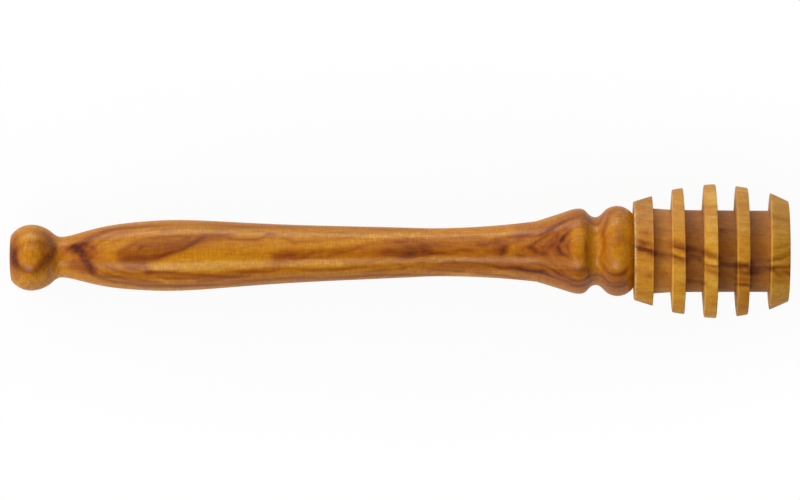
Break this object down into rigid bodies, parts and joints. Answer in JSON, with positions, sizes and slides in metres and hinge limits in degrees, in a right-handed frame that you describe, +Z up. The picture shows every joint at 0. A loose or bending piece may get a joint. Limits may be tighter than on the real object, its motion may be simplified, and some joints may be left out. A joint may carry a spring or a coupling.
{
  "type": "honey dipper",
  "caption": "Turned wooden honey dipper: a slim swelling handle with a knob and turned beads, glued into a barrel-shaped head whose ring grooves hold honey.",
  "frame": {"origin": "on the surface the dipper lies on, under the middle of its bounding box", "axes": "+X from the knob towards the head, +Z up from the surface it lies on; the turning axis lies in the XZ plane and rises about 2.8 degrees towards the head, because the knob and one rim of the head touch the surface"},
  "size_m": [0.1604, 0.0274, 0.0275],
  "materials": {
    "lacquered_wood": "olive wood sealed with a glossy clear coat",
    "bare_wood": "smooth bare olive wood, matt",
    "cured_glue": "cured wood glue, dull and slightly yellow"
  },
  "bodies": {
    "root": {"handle": "lacquered_wood", "head": "bare_wood", "glue": "cured_glue"}
  },
  "joints": []
}
